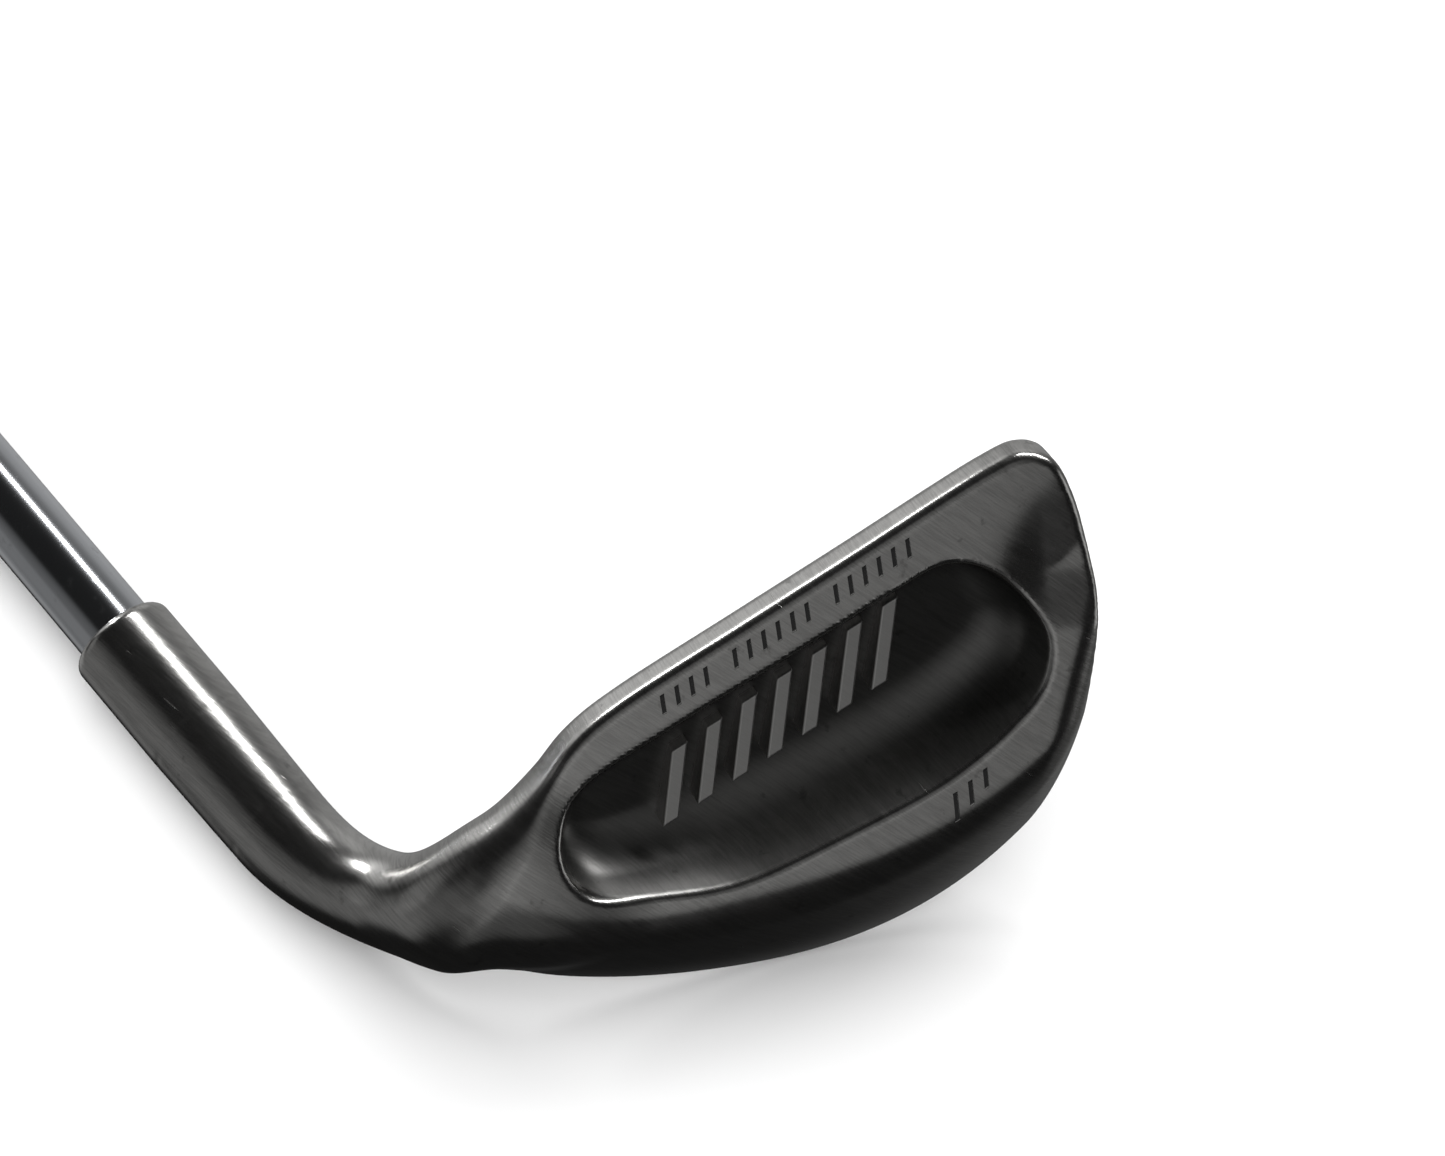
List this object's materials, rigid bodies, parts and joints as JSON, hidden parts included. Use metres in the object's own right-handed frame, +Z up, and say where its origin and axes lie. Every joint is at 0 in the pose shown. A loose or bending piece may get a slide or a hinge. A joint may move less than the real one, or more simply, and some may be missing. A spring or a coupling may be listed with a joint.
{
  "type": "golf club",
  "caption": "Right-handed cavity-back sand iron with a stepped steel shaft and a rubber grip, lying on the floor.",
  "frame": {"origin": "middle of the lying club's box, on the floor under it", "axes": "+Z up, shaft along X with the butt towards -X and the head towards +X, toe towards +Y"},
  "size_m": [0.9346, 0.0974, 0.0516],
  "materials": {
    "head_steel": "satin, brushed across the blade, with polished edges and small nicks",
    "shaft_chrome": "bright plated steel tube",
    "epoxy": "cured adhesive",
    "weight_brass": "turned",
    "band_plastic": "thin dark film, nothing printed",
    "tape": "paper backed adhesive tape",
    "grip_rubber": "moulded, fine cord texture, matte",
    "cap_rubber": "moulded, smooth, matte"
  },
  "bodies": {
    "root": {"club_head": "head_steel", "hosel_epoxy": "epoxy", "shaft": "shaft_chrome", "tip_weight": "weight_brass", "shaft_band": "band_plastic", "grip_tape": "tape", "grip": "grip_rubber", "grip_cap": "cap_rubber"}
  },
  "joints": []
}
